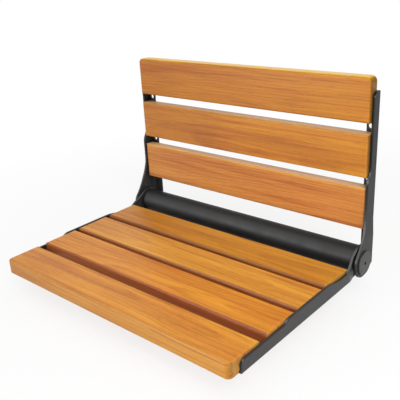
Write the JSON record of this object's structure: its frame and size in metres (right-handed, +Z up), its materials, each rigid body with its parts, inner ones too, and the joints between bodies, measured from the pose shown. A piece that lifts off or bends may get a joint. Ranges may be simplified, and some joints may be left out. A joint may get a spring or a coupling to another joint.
{
  "type": "fold down wall seat",
  "caption": "Wall-mounted slatted seat on black steel side brackets; the slatted seat frame with its cross tube folds up against the slatted back.",
  "frame": {"origin": "centre of the four wall bolt holes, on the wall plane (the back faces of the bracket flanges)", "axes": "+X to the right as seen from the front, -Y out of the wall towards the room, +Z up; the object lies at y below 0"},
  "size_m": [0.514, 0.3775, 0.3196],
  "materials": {
    "wood": "oiled teak-like slats with rounded edges",
    "black_metal": "black satin powder coat",
    "screws": "plain stainless steel",
    "bearing": "black moulded plastic"
  },
  "bodies": {
    "back": {"back_bracket_left": "black_metal", "back_bracket_right": "black_metal", "back_slat_bottom": "wood", "back_slat_middle": "wood", "back_slat_top": "wood", "back_slat_screws": "screws", "pivot_bushing_left": "bearing", "pivot_bushing_right": "bearing"},
    "seat": {"seat_bracket_left": "black_metal", "seat_bracket_right": "black_metal", "seat_slat_rear": "wood", "seat_slat_third": "wood", "seat_slat_second": "wood", "seat_slat_front": "wood", "seat_slat_screws": "screws", "cross_tube": "black_metal", "pivot_bolt_left": "black_metal", "pivot_bolt_right": "black_metal", "friction_washer_left": "bearing", "friction_washer_right": "bearing"}
  },
  "joints": [
    {"name": "seat_hinge", "type": "hinge", "parent": "back", "child": "seat", "pos_m": [0, -0.038, -0.1726], "axis": [-1, 0, 0], "range_deg": [0, 90]}
  ]
}
